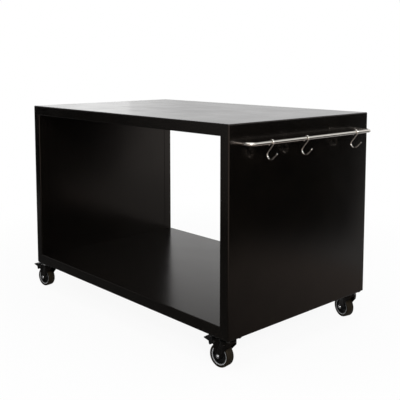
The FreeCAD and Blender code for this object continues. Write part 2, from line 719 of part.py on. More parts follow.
def wheel_part(half_profile):
    """A wheel piece from the half profile on its +Y side, mirrored about the middle plane."""
    whole = half_profile + [(r, -y) for r, y in reversed(half_profile)]
    return turned(whole, (-TRAIL, 0, AXLE_Z), (0, 1, 0))


def wheel_core():
    seat = WHEEL_D / 2 - TYRE_THICK - RIM_THICK
    side = TYRE_WIDTH / 2 - CORE_INSET
    bore, hub, hub_half = AXLE_SLEEVE_D / 2 + RUNNING, HUB_D / 2, AXLE_SPAN / 2 - SIDE_GAP
    return wheel_part(
        [
            (bore, hub_half),
            (hub, hub_half),
            (hub + (hub_half - WEB_HALF) / 4, WEB_HALF),
            (seat - CORE_LAND - (side - WEB_HALF) / 4, WEB_HALF),
            (seat - CORE_LAND, side),
            (seat, side),
        ]
    )


def wheel_rim():
    low, high = WHEEL_D / 2 - TYRE_THICK - RIM_THICK, WHEEL_D / 2 - TYRE_THICK
    side, c = TYRE_WIDTH / 2 - RIM_INSET, RIM_CHAMFER
    return wheel_part([(low, side - c), (low + c, side), (high - c, side), (high, side - c)])


def tyre():
    low, high = WHEEL_D / 2 - TYRE_THICK, WHEEL_D / 2
    side, s, shoulder = TYRE_WIDTH / 2, TYRE_SHOULDER, WHEEL_D / 2 - TYRE_CROWN
    k = s * (1 - math.sqrt(0.5))
    return wheel_part(
        [
            (low, side),
            (shoulder - s, side),
            (shoulder - k, side - k),
            (shoulder, side - s),
            (high, TREAD_FLAT / 2),
        ]
    )


def brake_pin():
    half = LEG_OUT
    shank = rod(PIN_D / 2, (PIVOT_X, -half, PIVOT_Z), (PIVOT_X, half, PIVOT_Z))
    heads = [
        rod(PIN_HEAD_D / 2, (PIVOT_X, s * half, PIVOT_Z), (PIVOT_X, s * (half + PIN_HEAD), PIVOT_Z))
        for s in (-1, 1)
    ]
    return shank.fuse(heads)


def wheel_in_pedal_frame(angle):
    """The wheel's centre as the pedal meets it after turning by the angle."""
    x, z, a = -TRAIL - PIVOT_X, AXLE_Z - PIVOT_Z, math.radians(angle)
    return PIVOT_X + x * math.cos(a) + z * math.sin(a), PIVOT_Z - x * math.sin(a) + z * math.cos(a)


def brake_pedal():
    """Foot lever: a tongue between the ears, a grooved tread, a stepped shoe over the tyre."""
    tongue, wide = AXLE_SPAN / 2 - SIDE_GAP, LEG_OUT
    tip_x, tip_z = PEDAL_NOSE - PEDAL_REACH, PEDAL_RISE - PEDAL_FALL
    profile = [
        (0, BOSS_R),
        (-PEDAL_TOP, PEDAL_RISE),
        (tip_x, tip_z),
        (-PEDAL_REACH, tip_z - PEDAL_NOSE),
        (tip_x, tip_z - TREAD_THICK),
        (-STEP_FORWARD, -STEP_DROP),
        (-SHOE_FORWARD, -SHOE_SHOULDER),
        (-CLAW_FORWARD, -CLAW_SHOULDER),
        (-CLAW_FORWARD, -CLAW_DROP),
        (-BOSS_R, -CLAW_DROP),
        (0, -BOSS_R),
    ]
    face = outline([(PIVOT_X + x, -wide, PIVOT_Z + z) for x, z in profile])
    lever = face.extrude(V(0, 2 * wide, 0))
    rear = PIVOT_X - EAR_R - SIDE_GAP
    lever = lever.cut(
        [
            box(rear, 0, -wide, -tongue, PIVOT_Z - CROWN_D, 0),
            box(rear, 0, tongue, wide, PIVOT_Z - CROWN_D, 0),
        ]
    )
    boss = rod(BOSS_R, (PIVOT_X, -tongue, PIVOT_Z), (PIVOT_X, tongue, PIVOT_Z))
    lever = lever.fuse(boss)
    clear = WHEEL_D / 2 + TYRE_GAP
    cuts = [rod(PIN_D / 2 + RUNNING, (PIVOT_X, -wide, PIVOT_Z), (PIVOT_X, wide, PIVOT_Z))]
    for angle in (0, PEDAL_TRAVEL / 2, PEDAL_TRAVEL):
        x, z = wheel_in_pedal_frame(angle)
        cuts.append(rod(clear, (x, -wide, z), (x, wide, z)))
    run = math.hypot(tip_x + PEDAL_TOP, PEDAL_FALL)
    back_x, back_z = -(tip_x + PEDAL_TOP) / run, PEDAL_FALL / run
    for row in range(1, int((PEDAL_REACH + rear - PIVOT_X) / TREAD_GROOVE_PITCH) + 1):
        x = PIVOT_X + tip_x + row * TREAD_GROOVE_PITCH * back_x
        z = PIVOT_Z + tip_z + row * TREAD_GROOVE_PITCH * back_z
        cuts.append(rod(TREAD_GROOVE_D / 2, (x, -wide, z), (x, wide, z)))
    return lever.cut(cuts)


def place_caster(shape, name):
    x, y = caster_place(name)
    shape = shape.copy()
    shape.rotate(V(0, 0, 0), V(0, 0, 1), CASTERS[name][3])
    shape.translate(V(x, y, BASE_Z))
    return shape


def build_casters():
    fixed = {"plate": caster_plate(), "kingpin": kingpin()}
    moving = {
        "ball_ring": ball_ring(),
        "axle": axle_set(),
        "wheel_core": wheel_core(),
        "wheel_rim": wheel_rim(),
        "tyre": tyre(),
    }
    forks = {braked: fork(braked) for braked in (False, True)}
    brake = {"brake_pedal": brake_pedal(), "brake_pin": brake_pin()}
    for name in CASTERS:
        braked = CASTERS[name][2]
        x, y = caster_place(name)
        for piece, shape in fixed.items():
            shape = shape.copy()
            shape.translate(V(x, y, BASE_Z))
            save("caster_" + name + "_" + piece, shape)
        pieces = dict(moving, fork=forks[braked], **(brake if braked else {}))
        for piece, shape in pieces.items():
            save("caster_" + name + "_" + piece, place_caster(shape, name))


def build_carcass():
    save("worktop_pan", worktop())
    save("worktop_liner", flat_liner(CEILING_Z))
    save("worktop_stiffeners", flat_hats(CEILING_Z + SHEET))
    save("shelf_pan", shelf(), tidy=False)
    save("shelf_liner", drilled(flat_liner(BASE_Z), caster_bolt_places(), BASE_Z, BASE_Z + SHEET))
    save("shelf_stiffeners", flat_hats(BASE_Z + SHEET))
    save("left_side_pan", side_pan(-1))
    save("right_side_pan", right_side_pan())
    for name, side in (("left", -1), ("right", 1)):
        save(name + "_side_liner", side_liner(side))
        save(name + "_side_stiffeners", side_hats(side))
    bolts, nuts = panel_fasteners()
    save("panel_bolts", bolts)
    save("panel_nuts", nuts)
    save("caster_backing_plates", backing_plates())
    bolts, nuts = caster_fasteners()
    save("caster_bolts", bolts)
    save("caster_nuts", nuts)


def build_rail():
    save("utensil_rail", rail())
    pads, washers, screws = rail_fixings()
    save("rail_backing_plates", pads)
    save("rail_washers", washers)
    save("rail_screws", screws)
    for name, place in HOOK_PLACES.items():
        save(name, hook(place))


build_carcass()
build_rail()
build_casters()
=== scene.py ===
# %% [markdown]
# # An outdoor oven table
#
# The table is a ring of four folded sheet-steel panels, powder-coated black, on four swivel
# casters. A steel rail with three S-hooks runs along its right side. The measured model comes in
# as a fixed frame of separate pieces. This lesson gives every piece its finish, swaps a few plain
# pieces for finer ones, and then sets up the studio and the camera.

# %% Load the measured model
import json
import math
import random

import bmesh
import bpy
from mathutils import Matrix, Vector


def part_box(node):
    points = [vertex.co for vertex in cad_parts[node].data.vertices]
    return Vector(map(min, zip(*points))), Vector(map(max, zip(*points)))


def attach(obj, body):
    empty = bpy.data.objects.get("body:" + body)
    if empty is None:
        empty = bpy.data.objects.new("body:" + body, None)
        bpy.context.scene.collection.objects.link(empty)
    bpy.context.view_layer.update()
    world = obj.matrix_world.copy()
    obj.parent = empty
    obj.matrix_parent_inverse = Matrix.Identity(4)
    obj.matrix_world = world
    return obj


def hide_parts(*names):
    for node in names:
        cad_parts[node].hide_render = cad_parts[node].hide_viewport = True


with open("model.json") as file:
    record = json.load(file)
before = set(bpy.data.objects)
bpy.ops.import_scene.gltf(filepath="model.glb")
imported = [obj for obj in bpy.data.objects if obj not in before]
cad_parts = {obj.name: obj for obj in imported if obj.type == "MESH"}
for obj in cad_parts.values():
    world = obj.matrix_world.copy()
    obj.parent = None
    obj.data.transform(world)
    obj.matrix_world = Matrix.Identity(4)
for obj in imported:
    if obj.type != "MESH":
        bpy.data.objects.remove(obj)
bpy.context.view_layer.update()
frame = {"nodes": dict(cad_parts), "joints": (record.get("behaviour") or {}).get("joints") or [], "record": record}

nodes = frame["nodes"]
record = frame["record"]
joints = {joint["name"]: joint for joint in frame["joints"]}
print("pieces in the frame:", len(nodes))

# %% [markdown]
# ## Helpers for finishes
#
# Colours are easiest to compare as the hex codes of a picture, but a shader wants linear light.
# One function does that sum. A second one adds a node and fills its sockets by name, so that a
# finish reads from top to bottom. Patterns are sized in millimetres, because that is how grain
# and surface texture are measured on real parts.

# %% Colour and node helpers
MM = 0.001


def linear(code):
    """A hex colour as the linear red, green, blue and alpha of a socket."""
    parts = [int(code[i:i + 2], 16) / 255 for i in (0, 2, 4)]
    light = [p / 12.92 if p <= 0.04045 else ((p + 0.055) / 1.055) ** 2.4 for p in parts]
    return (*light, 1.0)


def add_node(tree, kind, **sockets):
    """Adds a node. A socket's value is a number, a colour or another node's output."""
    node = tree.nodes.new(kind)
    for name, value in sockets.items():
        socket = node.inputs[name.replace("_", " ")]
        if isinstance(value, bpy.types.NodeSocket):
            tree.links.new(value, socket)
        else:
            socket.default_value = value
    return node


def start_finish(name):
    """A new material with its shader and the surface position in millimetres."""
    material = bpy.data.materials.new(name)
    material.use_nodes = True
    tree = material.node_tree
    shader = tree.nodes["Principled BSDF"]
    place = add_node(tree, "ShaderNodeTexCoord")
    millimetres = add_node(tree, "ShaderNodeVectorMath", Vector=place.outputs["Object"])
    millimetres.operation = "SCALE"
    millimetres.inputs["Scale"].default_value = 1 / MM
    return material, tree, shader, millimetres.outputs["Vector"]


def noise(tree, place, grain, detail=3.0):
    """Soft noise whose blobs are about grain millimetres across."""
    node = add_node(tree, "ShaderNodeTexNoise", Vector=place, Scale=1 / grain, Detail=detail)
    return node.outputs["Fac"]


def spread(tree, value, low, high):
    """Stretches the useful middle of a noise over the range from low to high."""
    node = add_node(tree, "ShaderNodeMapRange", Value=value, From_Min=0.3, From_Max=0.7)
    node.inputs["To Min"].default_value = low
    node.inputs["To Max"].default_value = high
    return node.outputs["Result"]


def two_tone(tree, value, dark, light):
    """A colour that wanders between two hex codes with the noise."""
    node = add_node(tree, "ShaderNodeMix", Factor=spread(tree, value, 0.0, 1.0))
    node.data_type = "RGBA"
    first, second = [socket for socket in node.inputs if socket.type == "RGBA"]
    first.default_value = linear(dark)
    second.default_value = linear(light)
    return [socket for socket in node.outputs if socket.type == "RGBA"][0]


def do_math(tree, operation, first, second):
    """Adds, subtracts or multiplies two values, or takes the larger."""
    node = add_node(tree, "ShaderNodeMath")
    node.operation = operation
    for socket, value in zip(node.inputs, (first, second)):
        if isinstance(value, bpy.types.NodeSocket):
            tree.links.new(value, socket)
        else:
            socket.default_value = value
    return node.outputs[0]


def relief(tree, shader, height, depth):
    """Bumps the surface by a height pattern, depth in millimetres."""
    bump = add_node(tree, "ShaderNodeBump", Height=height, Distance=depth * MM, Strength=1.0)
    tree.links.new(bump.outputs["Normal"], shader.inputs["Normal"])


print("helpers ready")

# %% [markdown]
# ## Black powder coat
#
# Powder coat is paint baked on as dry powder. It flows into a skin that is smooth to the hand,
# yet faintly rippled like orange peel, with a soft shine. Black panels show almost only what they
# mirror, so the shine matters far more than the colour. The base stays just above black and warm.
# The roughness wanders a little over a hand's width, as baked coatings do, and long faint smears
# from wiping cross it. The ripple has two sizes, one as fine as grain and one like a fingertip.

# %% Powder coat of the panels
def powder_coat():
    material, tree, shader, place = start_finish("black_powder_coat")
    tone = two_tone(tree, noise(tree, place, 90), "060504", "0a0806")
    tree.links.new(tone, shader.inputs["Base Color"])
    wiping = add_node(tree, "ShaderNodeMapping", Vector=place)
    wiping.inputs["Scale"].default_value = (0.15, 1.0, 1.0)
    smears = spread(tree, noise(tree, wiping.outputs["Vector"], 26), 0.0, 0.014)
    shine = do_math(tree, "ADD", spread(tree, noise(tree, place, 140), 0.185, 0.215), smears)
    tree.links.new(shine, shader.inputs["Roughness"])
    shader.inputs["IOR"].default_value = 1.4
    shader.inputs["Specular Tint"].default_value = linear("fff0e6")
    peel = do_math(tree, "MULTIPLY", noise(tree, place, 9, 1.0), 2.5)
    relief(tree, shader, do_math(tree, "ADD", noise(tree, place, 1.8, 1.0), peel), 0.004)
    return material


finishes = {"powder_coat_black": powder_coat()}
print("made", finishes["powder_coat_black"].name)

# %% [markdown]
# ## Paint on the pressed casters
#
# Caster forks are dipped, not sprayed, so their black is thinner and a little glossier, and it
# gathers in blotches the size of a fingertip. The same recipe with finer noise does it.

# %% Dip paint of the forks and plates
def dip_paint():
    material, tree, shader, place = start_finish("black_dip_paint")
    tone = two_tone(tree, noise(tree, place, 12), "040303", "080706")
    tree.links.new(tone, shader.inputs["Base Color"])
    tree.links.new(spread(tree, noise(tree, place, 9), 0.22, 0.34), shader.inputs["Roughness"])
    shader.inputs["IOR"].default_value = 1.35
    shader.inputs["Specular Tint"].default_value = linear("fff2ea")
    relief(tree, shader, noise(tree, place, 1.2, 2.0), 0.006)
    return material


finishes["caster_paint_black"] = dip_paint()
print("made", finishes["caster_paint_black"].name)

# %% [markdown]
# ## Stainless rail and hooks
#
# The rail is a ground and buffed bar. Grinding leaves hair lines along its length, so the noise is
# squeezed across the bar and stretched along it. The hooks are drawn wire: smoother, with faint
# drawing lines only. Both are full metals, and metals keep the shader's usual index.

# %% Ground bar and drawn wire
def ground_bar():
    material, tree, shader, place = start_finish("buffed_stainless_bar")
    shader.inputs["Metallic"].default_value = 1.0
    stretch = add_node(tree, "ShaderNodeMapping", Vector=place)
    stretch.inputs["Scale"].default_value = (1.0, 0.02, 1.0)
    lines = noise(tree, stretch.outputs["Vector"], 0.5, 4.0)
    tone = two_tone(tree, lines, "c6c1ba", "dfdad3")
    tree.links.new(tone, shader.inputs["Base Color"])
    tree.links.new(spread(tree, lines, 0.13, 0.24), shader.inputs["Roughness"])
    relief(tree, shader, lines, 0.002)
    return material


def drawn_wire():
    material, tree, shader, place = start_finish("drawn_stainless_wire")
    shader.inputs["Metallic"].default_value = 1.0
    grain = noise(tree, place, 0.9, 3.0)
    tree.links.new(two_tone(tree, grain, "dcd8d2", "efebe5"), shader.inputs["Base Color"])
    tree.links.new(spread(tree, grain, 0.16, 0.24), shader.inputs["Roughness"])
    return material


finishes["stainless_bar"] = ground_bar()
finishes["stainless_wire"] = drawn_wire()
print("made", finishes["stainless_bar"].name, "and", finishes["stainless_wire"].name)

# %% [markdown]
# ## Plated fasteners and galvanised sheet
#
# Bolts, nuts and washers are zinc plated: grey, slightly blue and cloudy. The axle bolts are
# bright zinc, a shade lighter. The bolts under the caster plates and the pins of the brakes are
# blacked: their oxide skin is nearly black and faintly cloudy, so it is no full metal but a dark
# skin with a high index. The stiffeners inside the panels are galvanised sheet, whose zinc
# freezes into flat crystals a few millimetres wide. A cell pattern gives each crystal its own
# grey and its own shine.

# %% Zinc and oxide finishes
def zinc_plate(name, dark, light):
    material, tree, shader, place = start_finish(name)
    shader.inputs["Metallic"].default_value = 1.0
    cloud = noise(tree, place, 2.5, 4.0)
    tree.links.new(two_tone(tree, cloud, dark, light), shader.inputs["Base Color"])
    tree.links.new(spread(tree, cloud, 0.24, 0.38), shader.inputs["Roughness"])
    return material


def black_oxide():
    material, tree, shader, place = start_finish("black_oxide_on_steel")
    cloud = noise(tree, place, 1.6, 4.0)
    tree.links.new(two_tone(tree, cloud, "12110f", "24221f"), shader.inputs["Base Color"])
    tree.links.new(spread(tree, cloud, 0.3, 0.46), shader.inputs["Roughness"])
    shader.inputs["IOR"].default_value = 1.7
    return material


def galvanised_sheet():
    material, tree, shader, place = start_finish("galvanised_sheet")
    shader.inputs["Metallic"].default_value = 1.0
    crystals = add_node(tree, "ShaderNodeTexVoronoi", Vector=place, Scale=1 / 6)
    grey = add_node(tree, "ShaderNodeRGBToBW", Color=crystals.outputs["Color"])
    tone = two_tone(tree, grey.outputs["Val"], "85898c", "a9adb0")
    tree.links.new(tone, shader.inputs["Base Color"])
    tree.links.new(spread(tree, grey.outputs["Val"], 0.38, 0.52), shader.inputs["Roughness"])
    return material


finishes["zinc_plated_steel"] = zinc_plate("zinc_plate", "a4a8ab", "bfc2c5")
finishes["axle_steel"] = zinc_plate("bright_zinc_plate", "d4d5d6", "eeeff0")
finishes["galvanised_sheet"] = galvanised_sheet()
finishes["black_oxide_steel"] = black_oxide()
print("made", len(finishes), "finishes so far")

# %% [markdown]
# ## Plastics and rubber of the casters
#
# The wheel core and the brake pedal are black moulded nylon with a fine spark-eroded grain. The
# ring round the core is pale grey. The tread is a dark rubber, dull and slightly brown, and even
# its shine is tinted, by dust in its pores. Each is one moulded colour, so the noise only shades
# it by a few steps.

# %% Moulded plastics and tread rubber
def moulded(name, dark, light, low, high, grain, tint="ffffff"):
    material, tree, shader, place = start_finish(name)
    shader.inputs["Specular Tint"].default_value = linear(tint)
    speck = noise(tree, place, grain, 3.0)
    tree.links.new(two_tone(tree, speck, dark, light), shader.inputs["Base Color"])
    rough = noise(tree, place, grain * 6, 2.0)
    tree.links.new(spread(tree, rough, low, high), shader.inputs["Roughness"])
    relief(tree, shader, speck, 0.012)
    return material


finishes["wheel_plastic_black"] = moulded("black_nylon_core", "0a0a0a", "111010", 0.42, 0.55, 0.6)
finishes["pedal_plastic_black"] = moulded("black_nylon_pedal", "070707", "0d0c0c", 0.38, 0.5, 0.7)
finishes["rim_plastic_grey"] = moulded("pale_grey_ring", "9c9da0", "aeafb1", 0.34, 0.44, 0.8)
finishes["tread_rubber"] = moulded(
    "dark_tread_rubber", "130f09", "1c170e", 0.5, 0.64, 0.9, tint="e6d2b8"
)
print("made", len(finishes), "finishes in all")

# %% [markdown]
# ## Dress the pieces of the frame
#
# The record lists which finish each piece takes. A frame piece keeps its shape, and only its
# material slot is filled anew.

# %% Give every frame piece its finish
slot_of = {part["node"]: part["material_slot"] for part in record["subparts"]}
for name, piece in nodes.items():
    piece.data.materials.clear()
    piece.data.materials.append(finishes[slot_of[name]])
print("dressed", len(nodes), "pieces")

# %% [markdown]
# ## Where each wheel stands
#
# Every caster points its own way, so a wheel piece is shaped once about a plain axis and then set
# in place by a matrix. The wheel's hinge in the frame gives the centre and the axle's direction.

# %% Placing helpers for the casters
CASTERS = ("front_left", "front_right", "rear_left", "rear_right")
WHEEL_STEPS = 72  # faces round a wheel
SHARP_ANGLE = 35  # degrees from which an edge stays sharp
SAME_POINT = 1e-7  # metres within which two points are one


def wheel_place(caster):
    """The matrix from a wheel at the origin, axle along Y, to its place on the table."""
    hinge = joints["wheel_spin_" + caster]
    across = Vector(hinge["axis"])
    turn = math.atan2(-across.x, across.y)
    return Matrix.Translation(Vector(hinge["pos_m"])) @ Matrix.Rotation(turn, 4, "Z")


def at_wheel(node, place):
    """The points of a frame piece as they lie about a wheel at this place."""
    back = place.inverted()
    return [back @ v.co for v in nodes[node].data.vertices]


def reach(points):
    """The farthest that any point lies out from a wheel's axle, and along it."""
    return max(math.hypot(p.x, p.z) for p in points), max(abs(p.y) for p in points)


def new_object(name, mesh_builder, material):
    """Turns a bmesh into an object of one material."""
    mesh = bpy.data.meshes.new(name)
    mesh_builder.to_mesh(mesh)
    mesh_builder.free()
    mesh.materials.append(material)
    made = bpy.data.objects.new(name, mesh)
    bpy.context.scene.collection.objects.link(made)
    return made


def add_piece(name, mesh_builder, place, body, slot, node):
    """Turns a bmesh into a smooth-shaded piece that rides on a body instead of a frame piece."""
    bmesh.ops.transform(mesh_builder, matrix=place, verts=mesh_builder.verts)
    bmesh.ops.remove_doubles(mesh_builder, verts=mesh_builder.verts, dist=SAME_POINT)
    bmesh.ops.recalc_face_normals(mesh_builder, faces=mesh_builder.faces)
    piece = new_object(name, mesh_builder, finishes[slot])
    piece.data.shade_smooth()
    piece.data.set_sharp_from_angle(angle=math.radians(SHARP_ANGLE))
    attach(piece, body)
    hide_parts(node)
    return piece


for caster in CASTERS:
    centre = wheel_place(caster).translation
    print(caster, "wheel centre at", [round(v, 4) for v in centre])

# %% [markdown]
# ## Tyres
#
# A caster tyre is moulded over its rim, and a thin lip of it laps the ring on each side. The tread
# is slightly crowned, its shoulders are round, and a hairline flash runs round the middle where the
# two mould halves met. Half of the section is drawn and mirrored, the whole is spun about the axle,
# and the shoulder edges are then bevelled round. From here on, sizes of parts are in millimetres.

# %% Spin the tyres
TREAD_CROWN = 0.35
FLASH = 0.12
FLASH_HALF_WIDTH = 0.35
SHOULDER = 2.8
TYRE_DEPTH = 7.0
LIP = 1.5  # how far the lip laps the ring
LIP_HIGH, LIP_LOW = 1.2, 0.9  # the lip's inner face, in from the tyre's side
LIP_ROUND = 0.3
NEARLY = 1e-6  # metres within which a point counts as on a line


def ring_section(points):
    """A closed section of (radius, offset) points, in millimetres, ready to be spun."""
    mesh_builder = bmesh.new()
    corners = [mesh_builder.verts.new((0, y * MM, -r * MM)) for r, y in points]
    for a, b in zip(corners, corners[1:] + corners[:1]):
        mesh_builder.edges.new((a, b))
    return mesh_builder


def spin_round(mesh_builder, steps):
    """Spins a section once about the wheel's axle."""
    bmesh.ops.spin(
        mesh_builder,
        geom=mesh_builder.verts[:] + mesh_builder.edges[:],
        cent=(0, 0, 0),
        axis=(0, 1, 0),
        angle=2 * math.pi,
        steps=steps,
        use_merge=True,
    )


def round_edges(mesh_builder, edges, width, steps):
    """Bevels edges round. The width is in millimetres."""
    bmesh.ops.bevel(
        mesh_builder,
        geom=edges,
        offset=width * MM,
        affect="EDGES",
        segments=steps,
        profile=0.5,
        material=-1,
    )


def tyre(outer, half):
    """A tyre of this outer radius and half width, both in millimetres."""
    lip = outer - TYRE_DEPTH - LIP
    side = [
        (outer - TYRE_DEPTH, LIP_HIGH - half),
        (lip, LIP_LOW - half),
        (lip, LIP_ROUND - half),
        (lip + LIP_ROUND, -half),
        (outer - TREAD_CROWN, -half),
        (outer - FLASH, -FLASH_HALF_WIDTH),
    ]
    mesh_builder = ring_section(side + [(outer, 0)] + [(r, -y) for r, y in reversed(side)])
    spin_round(mesh_builder, WHEEL_STEPS)
    rim = (outer - TREAD_CROWN) * MM
    edges = []
    for edge in mesh_builder.edges:
        at_side = all(abs(abs(v.co.y) - half * MM) < NEARLY for v in edge.verts)
        at_rim = all(abs(math.hypot(v.co.x, v.co.z) - rim) < NEARLY for v in edge.verts)
        if at_side and at_rim:
            edges.append(edge)
    round_edges(mesh_builder, edges, SHOULDER, 4)
    return mesh_builder


for caster in CASTERS:
    node = "caster_" + caster + "_tyre"
    place = wheel_place(caster)
    radius, half_width = reach(at_wheel(node, place))
    mesh_builder = tyre(radius / MM, half_width / MM)
    body = "wheel_" + caster
    piece = add_piece("tyre_" + caster, mesh_builder, place, body, "tread_rubber", node)
    print(piece.name, "faces:", len(piece.data.polygons))

# %% [markdown]
# ## Rings between core and tyre
#
# The pale ring that shows round each wheel is a collar moulded with a bead on either face. The
# bead's rounded top catches the light as a thin bright circle, which a flat ring would not. Its
# section is spun like the tyre's, and all its ridges are bevelled at once.

# %% Spin the rings
# Each point of the bead lies out from the ring's inner edge and down from its face.
BEAD = [(0, 1.3), (0.5, 1.2), (1.0, 0.2), (2.3, 0), (3.3, 0.4), (3.8, 1.2)]
SEAT_DEPTH = 1.4  # where the tyre's lip covers the ring
RIDGE_ROUND = 0.16


def beaded_ring(low, high, half):
    """A ring between two radii, with a bead on either face."""
    bead = [(low + out, half - down) for out, down in BEAD] + [(high, half - SEAT_DEPTH)]
    mesh_builder = ring_section(bead + [(r, -y) for r, y in reversed(bead)])
    spin_round(mesh_builder, WHEEL_STEPS)
    inner, outer = (low + 0.4) * MM, (high - 0.1) * MM
    ridges = []
    for edge in mesh_builder.edges:
        a, b = (math.hypot(v.co.x, v.co.z) for v in edge.verts)
        climb = abs(edge.verts[0].co.y - edge.verts[1].co.y)
        around = abs(a - b) < SAME_POINT and climb < SAME_POINT
        if around and inner < a < outer:
            ridges.append(edge)
    round_edges(mesh_builder, ridges, RIDGE_ROUND, 2)
    return mesh_builder


for caster in CASTERS:
    node = "caster_" + caster + "_wheel_rim"
    place = wheel_place(caster)
    points = at_wheel(node, place)
    radius, half_width = reach(points)
    inside = min(math.hypot(p.x, p.z) for p in points)
    mesh_builder = beaded_ring(inside / MM, radius / MM, half_width / MM)
    body = "wheel_" + caster
    piece = add_piece("ring_" + caster, mesh_builder, place, body, "rim_plastic_grey", node)
    print(piece.name, "faces:", len(piece.data.polygons))

# %% [markdown]
# ## Axle bolts
#
# A hexagon bolt holds each wheel, with a locknut on the far leg. In the photo each head is a round
# bright spot, so its top is a cap, a part of a ball, which always turns some of its face towards a
# lamp. Hexagons are turned on their tops, so the six corners are cut back by a shallow cone, and
# that is what makes a bolt head look like one. Here the round top face comes first. Its rim is
# drawn out to the six flats and down the cone in one move, and then straight down to the seat. The
# screwed end is a zigzag section, spun one turn while it climbs by one pitch, which is exactly how
# a thread winds.

# %% Hexagon heads and threads
CONE = math.tan(math.radians(30))
TOP_FACE = 0.97  # the round top face, as a share of the flats
THREAD_DEPTH = 0.61  # as a share of the pitch
SEATED = 0.2  # how far a shank runs up into its head
TURN = math.radians(60)  # from one flat of a hexagon to the next
HEXAGON_STEPS = 36  # a multiple of six, so that every corner gets a point


def hexagon_head(mesh_builder, flats, height, place):
    """A turned hexagon, seat at the place's origin, standing up along its Z."""
    half = flats / 2 * MM
    face = half * TOP_FACE
    top = bmesh.ops.create_circle(
        mesh_builder, cap_ends=True, segments=HEXAGON_STEPS, radius=face
    )
    bmesh.ops.translate(mesh_builder, vec=(0, 0, height * MM), verts=top["verts"])
    rim = {e for v in top["verts"] for e in v.link_edges}
    made = bmesh.ops.extrude_edge_only(mesh_builder, edges=list(rim))["geom"]
    corners = [g for g in made if isinstance(g, bmesh.types.BMVert)]
    for corner in corners:
        angle = math.atan2(corner.co.y, corner.co.x)
        off_flat = (angle + TURN / 2) % TURN - TURN / 2
        radius = half / math.cos(off_flat)
        drop = (radius - face) * CONE
        corner.co = (radius * math.cos(angle), radius * math.sin(angle), height * MM - drop)
    sides = [g for g in made if isinstance(g, bmesh.types.BMEdge)]
    sides = [edge for edge in sides if all(v in corners for v in edge.verts)]
    made = bmesh.ops.extrude_edge_only(mesh_builder, edges=sides)["geom"]
    feet = [g for g in made if isinstance(g, bmesh.types.BMVert)]
    for foot in feet:
        foot.co.z = 0
    bmesh.ops.transform(mesh_builder, matrix=place, verts=top["verts"] + corners + feet)


def turned_part(mesh_builder, points, place, steps=32):
    """A section of (radius, height) points, in millimetres, spun about the place's Z."""
    line = [mesh_builder.verts.new((r * MM, 0, z * MM)) for r, z in points]
    edges = [mesh_builder.edges.new(pair) for pair in zip(line, line[1:])]
    made = bmesh.ops.spin(
        mesh_builder,
        geom=line + edges,
        cent=(0, 0, 0),
        axis=(0, 0, 1),
        angle=2 * math.pi,
        steps=steps,
        use_merge=True,
    )
    verts = {v for v in mesh_builder.verts if v in line}
    verts.update(g for g in made["geom_last"] if isinstance(g, bmesh.types.BMVert))
    reached = set(verts)
    while verts:
        verts = {e.other_vert(v) for v in verts for e in v.link_edges} - reached
        reached |= verts
    bmesh.ops.transform(mesh_builder, matrix=place, verts=list(reached))


def thread(mesh_builder, diameter, pitch, turns, place, steps=24):
    """A screw thread from the place's origin up its Z."""
    crest, root = diameter / 2, diameter / 2 - THREAD_DEPTH * pitch
    line = []
    for k in range(turns):
        line += [(root, k * pitch), (crest, (k + 0.5) * pitch)]
    line.append((root, turns * pitch))
    verts = [mesh_builder.verts.new((r * MM, 0, z * MM)) for r, z in line]
    edges = [mesh_builder.edges.new(pair) for pair in zip(verts, verts[1:])]
    before = set(mesh_builder.verts)
    bmesh.ops.spin(
        mesh_builder,
        geom=verts + edges,
        cent=(0, 0, 0),
        axis=(0, 0, 1),
        dvec=(0, 0, pitch * MM / steps),
        angle=2 * math.pi,
        steps=steps,
        use_merge=False,
    )
    made = [v for v in mesh_builder.verts if v not in before] + verts
    bmesh.ops.transform(mesh_builder, matrix=place, verts=made)


print("bolt helpers ready")

# %% Axle bolts with locknuts
AXLE_D = 8.0
AXLE_FLATS = 13.0
AXLE_HEAD = 5.3
AXLE_TAIL = 2.0  # thread past the locknut
AXLE_PITCH = 0.9
AXLE_TURNS = 3
SLEEVE_D = 10.0
LEG_THICK = 2.6  # the sleeve ends inside the fork's legs
CAP_R = 6.6  # radius of the ball that the cap is part of
CAP_SLOPE = 62  # degrees at the cap's edge
CAP_RINGS = 8
CAP_RISE = 3.3  # cap above the hexagon
COLLAR_RISE = 1.6  # the locknut's round collar above its hexagon
COLLAR = [(5.7, 3.2), (5.7, 4.8), (5.2, AXLE_HEAD), (4.2, AXLE_HEAD), (3.9, 4.9)]
SCREW_START = 4.4
TIP_START = 4.2
TIP_R = 3.45
TIP_END_R = 3.1
TIP_CHAMFER = 0.3


